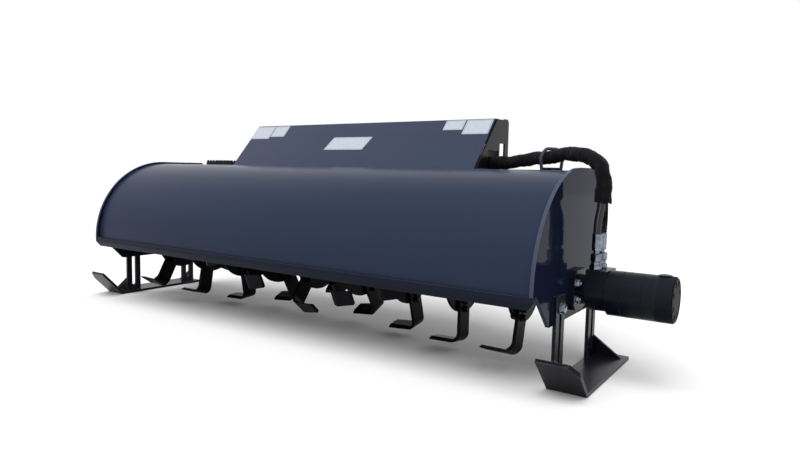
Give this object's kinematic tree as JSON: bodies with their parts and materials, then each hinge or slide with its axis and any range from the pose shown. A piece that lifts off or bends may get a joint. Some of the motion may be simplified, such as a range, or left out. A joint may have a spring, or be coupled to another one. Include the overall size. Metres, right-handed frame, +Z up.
{
  "type": "hydraulic rotavator for a compact loader",
  "caption": "Wide rotavator: a rolled hood between end plates over a rotor of bent tines, with a side motor, hoses, skid shoes and a quick-attach frame behind a sloping cover.",
  "frame": {"origin": "middle of the footprint, on the floor under the skid shoes", "axes": "+X along the rotor towards the motor, +Y towards the loader, +Z up"},
  "size_m": [2.306, 0.642, 0.748],
  "materials": {
    "body_paint": "glossy dark blue-grey paint",
    "dark_paint": "black paint, satin",
    "zinc_plate": "zinc plated",
    "hose_rubber": "black hose cover",
    "sleeve_cloth": "black woven sleeve",
    "vinyl": "blank vinyl sticker",
    "bare_steel": "turned steel"
  },
  "bodies": {
    "frame": {"hood_shell": "body_paint", "front_lip": "body_paint", "end_plate_left": "body_paint", "end_plate_right": "body_paint", "cover_panel": "body_paint", "hitch_side_left": "body_paint", "hitch_side_right": "body_paint", "hitch_upper_rail": "body_paint", "hitch_lower_rail": "body_paint", "hitch_straps": "body_paint", "hitch_beam": "body_paint", "hitch_braces": "body_paint", "skid_sole_left": "dark_paint", "skid_sole_right": "dark_paint", "skid_legs_left": "dark_paint", "skid_legs_right": "dark_paint", "skid_gussets_left": "dark_paint", "skid_gussets_right": "dark_paint", "motor_flange": "dark_paint", "motor_hub": "dark_paint", "motor_port_block": "dark_paint", "motor_body": "dark_paint", "motor_end_cap": "dark_paint", "motor_port_plug": "dark_paint", "bearing_housing": "dark_paint", "bearing_cap": "dark_paint", "port_adapters": "zinc_plate", "hose_nuts": "zinc_plate", "hose_necks": "zinc_plate", "hose_ferrules": "zinc_plate", "hose_front": "hose_rubber", "hose_rear": "hose_rubber", "hose_sleeve": "sleeve_cloth", "hose_tail_front": "hose_rubber", "hose_tail_rear": "hose_rubber", "coupler_ferrules": "zinc_plate", "hose_couplers": "zinc_plate", "hose_ring": "body_paint", "hose_rest": "dark_paint", "grip_step": "dark_paint"},
    "rotor": {"rotor_tube": "dark_paint", "rotor_shaft_left": "bare_steel", "rotor_shaft_right": "bare_steel", "rotor_discs": "dark_paint", "tines_left_hand": "dark_paint", "tines_right_hand": "dark_paint"}
  },
  "joints": [
    {"name": "rotor_spin", "type": "hinge", "parent": "frame", "child": "rotor", "pos_m": [-0.08, -0.008, 0.238], "axis": [1, 0, 0], "continuous": true}
  ]
}
